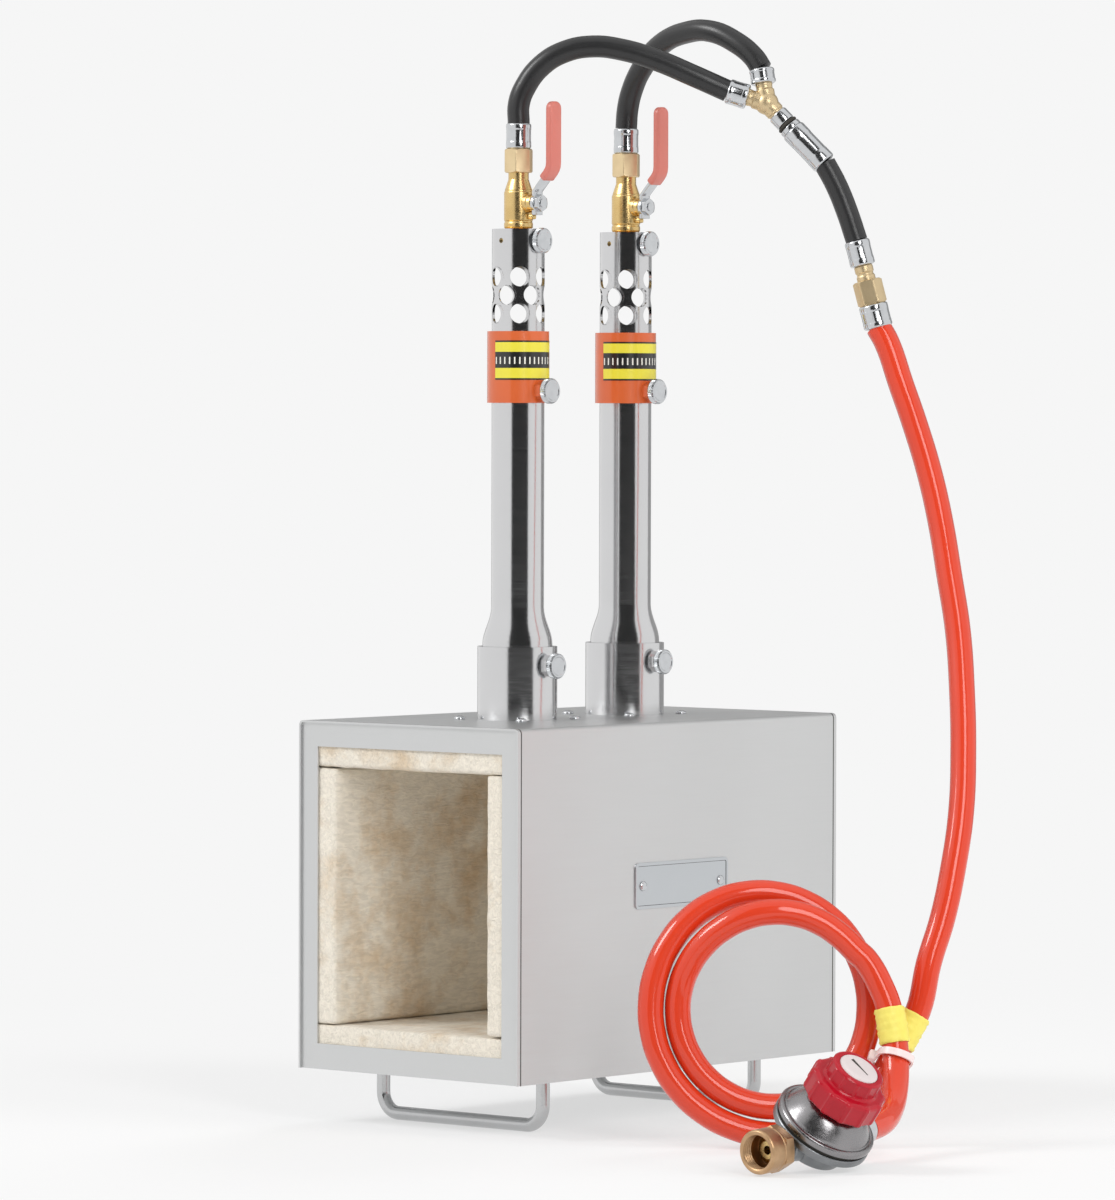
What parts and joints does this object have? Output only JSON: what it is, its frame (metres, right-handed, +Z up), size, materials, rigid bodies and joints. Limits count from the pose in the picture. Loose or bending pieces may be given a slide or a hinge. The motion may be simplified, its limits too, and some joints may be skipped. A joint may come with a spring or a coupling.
{
  "type": "gas forge",
  "caption": "Open-ended box gas forge with a fibre lining and upright burners on its roof, each with a choke sleeve and a ball valve, fed by branched hoses from a knob regulator.",
  "frame": {"origin": "on the floor, under the middle of the box", "axes": "+Z up along the burners, mouth towards -Y, valve levers and hose loops towards +X"},
  "size_m": [0.4265, 0.3381, 0.6473],
  "materials": {
    "stainless_sheet": "cold-rolled stainless sheet, bright polished",
    "dark_frame": "stainless sheet, heat-dulled satin",
    "fibre_blanket": "needled ceramic fibre, cold, with tan heat stains",
    "leg_rod": "bright drawn steel rod",
    "small_screws": "zinc-plated, slightly dull",
    "plate": "bare satin aluminium",
    "rivets": "satin",
    "burner_steel": "polished stainless tube",
    "choke_paint": "orange enamel, semi-gloss",
    "thumbscrew_steel": "nickel-plated steel",
    "brass": "turned brass, bright",
    "valve_plating": "nickel-plated brass",
    "lever_steel": "plated strip steel",
    "grip_vinyl": "dipped vinyl, red-orange",
    "ptfe": "white PTFE",
    "ferrule_steel": "zinc-plated, crimped",
    "black_hose": "smooth black rubber",
    "red_hose": "smooth red rubber, semi-gloss",
    "yellow_tape": "plain yellow tape",
    "white_tie": "nylon band",
    "cast_zinc": "die-cast zinc, bead-blasted",
    "diaphragm_rubber": "moulded rubber sheet",
    "spring_wire": "spring steel",
    "knob_plastic": "moulded red plastic",
    "cap_plastic": "pale moulded plastic"
  },
  "bodies": {
    "root": {"shell_wrap": "stainless_sheet", "front_frame": "dark_frame", "rear_frame": "dark_frame", "floor_pan": "stainless_sheet", "front_leg": "leg_rod", "rear_leg": "leg_rod", "pan_screws": "small_screws", "lining_floor": "fibre_blanket", "lining_left": "fibre_blanket", "lining_right": "fibre_blanket", "lining_roof": "fibre_blanket", "name_plate": "plate", "plate_rivets": "rivets", "front_socket": "burner_steel", "rear_socket": "burner_steel", "front_burner_tube": "burner_steel", "rear_burner_tube": "burner_steel", "gas_jets": "brass", "front_valve_body": "valve_plating", "rear_valve_body": "valve_plating", "valve_seats": "ptfe", "valve_adaptors": "brass", "hose_nuts": "brass", "crimp_ferrules": "ferrule_steel", "front_hose": "black_hose", "rear_hose": "black_hose", "y_block": "brass", "tail_coupling": "ferrule_steel", "tail_hose": "black_hose", "red_hose": "red_hose", "hose_loops": "red_hose", "regulator_hose": "red_hose", "hose_tapes": "yellow_tape", "cable_tie": "white_tie", "regulator_body": "cast_zinc", "regulator_bonnet": "cast_zinc", "diaphragm": "diaphragm_rubber", "regulator_spring": "spring_wire", "inlet_nipple": "brass"},
    "front_lever": {"front_valve_ball": "valve_plating", "front_valve_stem": "lever_steel", "front_valve_lever": "lever_steel", "front_lever_grip": "grip_vinyl", "front_lever_nut": "thumbscrew_steel"},
    "front_choke": {"front_choke_sleeve": "choke_paint"},
    "front_sleeve_screw": {"front_sleeve_thumbscrew": "thumbscrew_steel"},
    "front_tube_screw": {"front_tube_thumbscrew": "thumbscrew_steel"},
    "front_socket_screw": {"front_socket_thumbscrew": "thumbscrew_steel"},
    "rear_lever": {"rear_valve_ball": "valve_plating", "rear_valve_stem": "lever_steel", "rear_valve_lever": "lever_steel", "rear_lever_grip": "grip_vinyl", "rear_lever_nut": "thumbscrew_steel"},
    "rear_choke": {"rear_choke_sleeve": "choke_paint"},
    "rear_sleeve_screw": {"rear_sleeve_thumbscrew": "thumbscrew_steel"},
    "rear_tube_screw": {"rear_tube_thumbscrew": "thumbscrew_steel"},
    "rear_socket_screw": {"rear_socket_thumbscrew": "thumbscrew_steel"},
    "knob": {"regulator_knob": "knob_plastic", "knob_cap": "cap_plastic"},
    "inlet_nut": {"inlet_nut": "brass"}
  },
  "joints": [
    {"name": "front_lever_turn", "type": "hinge", "parent": "root", "child": "front_lever", "pos_m": [0, -0.049, 0.539], "axis": [1, 0, 0], "range_deg": [0, 90]},
    {"name": "front_choke_slide", "type": "slide", "parent": "root", "child": "front_choke", "axis": [0, 0, 1], "range_m": [-0.11, 0.042]},
    {"name": "front_sleeve_screw_turn", "type": "hinge", "parent": "front_choke", "child": "front_sleeve_screw", "pos_m": [0, -0.049, 0.429], "axis": [1, 0, 0], "continuous": true},
    {"name": "front_tube_screw_turn", "type": "hinge", "parent": "root", "child": "front_tube_screw", "pos_m": [0, -0.049, 0.517], "axis": [1, 0, 0], "continuous": true},
    {"name": "front_socket_screw_turn", "type": "hinge", "parent": "root", "child": "front_socket_screw", "pos_m": [0, -0.049, 0.268], "axis": [1, 0, 0], "continuous": true},
    {"name": "rear_lever_turn", "type": "hinge", "parent": "root", "child": "rear_lever", "pos_m": [0, 0.049, 0.539], "axis": [1, 0, 0], "range_deg": [0, 90]},
    {"name": "rear_choke_slide", "type": "slide", "parent": "root", "child": "rear_choke", "axis": [0, 0, 1], "range_m": [-0.11, 0.042]},
    {"name": "rear_sleeve_screw_turn", "type": "hinge", "parent": "rear_choke", "child": "rear_sleeve_screw", "pos_m": [0, 0.049, 0.429], "axis": [1, 0, 0], "continuous": true},
    {"name": "rear_tube_screw_turn", "type": "hinge", "parent": "root", "child": "rear_tube_screw", "pos_m": [0, 0.049, 0.517], "axis": [1, 0, 0], "continuous": true},
    {"name": "rear_socket_screw_turn", "type": "hinge", "parent": "root", "child": "rear_socket_screw", "pos_m": [0, 0.049, 0.268], "axis": [1, 0, 0], "continuous": true},
    {"name": "knob_turn", "type": "hinge", "parent": "root", "child": "knob", "pos_m": [0.304, -0.141, 0.02478], "axis": [0.6157, -0.0412, 0.7869], "range_deg": [0, 1080]},
    {"name": "inlet_nut_turn", "type": "hinge", "parent": "root", "child": "inlet_nut", "pos_m": [0.29723, -0.14055, 0.01613], "axis": [0, -0.9986, -0.0523], "continuous": true}
  ]
}
